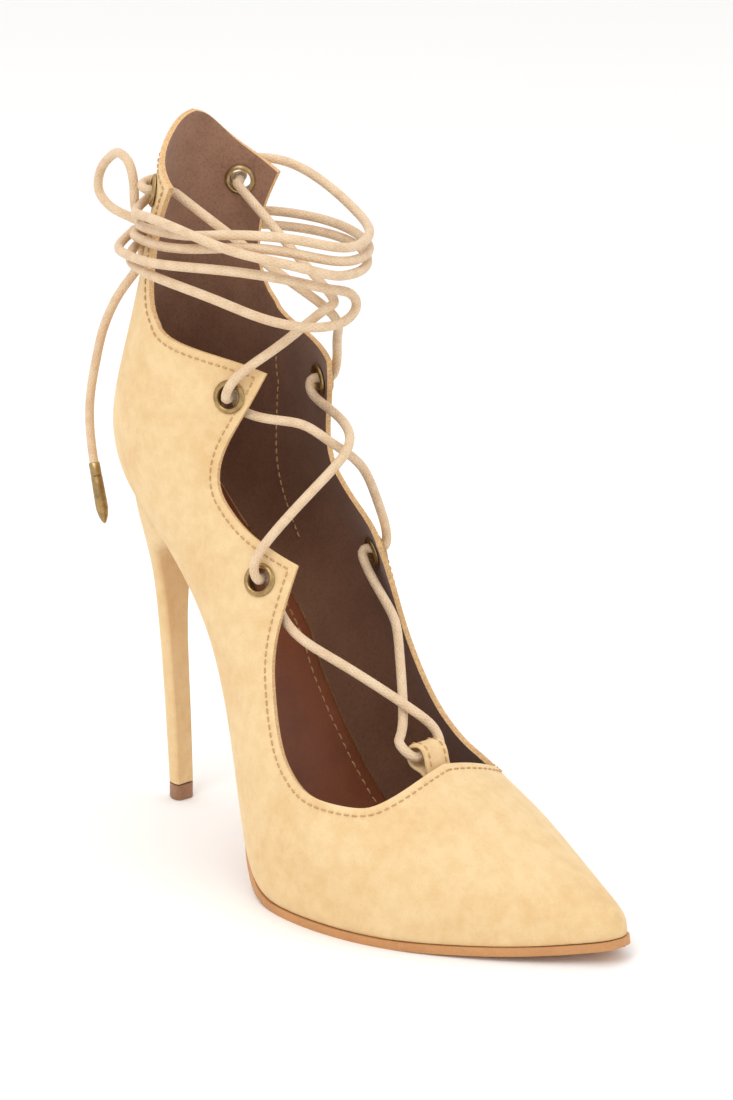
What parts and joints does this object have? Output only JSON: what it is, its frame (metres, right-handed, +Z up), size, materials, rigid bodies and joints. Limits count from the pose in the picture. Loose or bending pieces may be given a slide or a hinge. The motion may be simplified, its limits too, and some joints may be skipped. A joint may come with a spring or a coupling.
{
  "type": "lace up heel",
  "caption": "Pointed stiletto shoe with a cut-out collar closed by a lace that crosses the instep, winds round the ankle and ties at the back",
  "frame": {"origin": "middle of the shoe's box on the floor it stands on", "axes": "+Z is up, +X is towards the toe, -Y is the outer side of the foot"},
  "size_m": [0.2354, 0.085, 0.24],
  "materials": {
    "suede": "tan suede, napped",
    "outsole": "smooth tan sole leather",
    "insole": "smooth reddish brown sock",
    "lift": "hard brown rubber",
    "brass": "antique",
    "cord": "round waxed cotton cord"
  },
  "bodies": {
    "root": {"upper": "suede", "outsole": "outsole", "insole": "insole", "heel": "suede", "top_lift": "lift", "back_loop": "suede", "throat_tab": "suede", "eyelet_outer_low": "brass", "eyelet_outer_middle": "brass", "eyelet_outer_top": "brass", "eyelet_inner_low": "brass", "eyelet_inner_middle": "brass", "eyelet_inner_top": "brass", "lace_crossings": "cord", "ankle_wrap_outer": "cord", "ankle_wrap_inner": "cord", "lace_knot": "cord", "bow_loop_long": "cord", "bow_loop_short": "cord", "lace_end_outer": "cord", "lace_end_inner": "cord", "lace_tip_outer": "brass", "lace_tip_inner": "brass"}
  },
  "joints": []
}
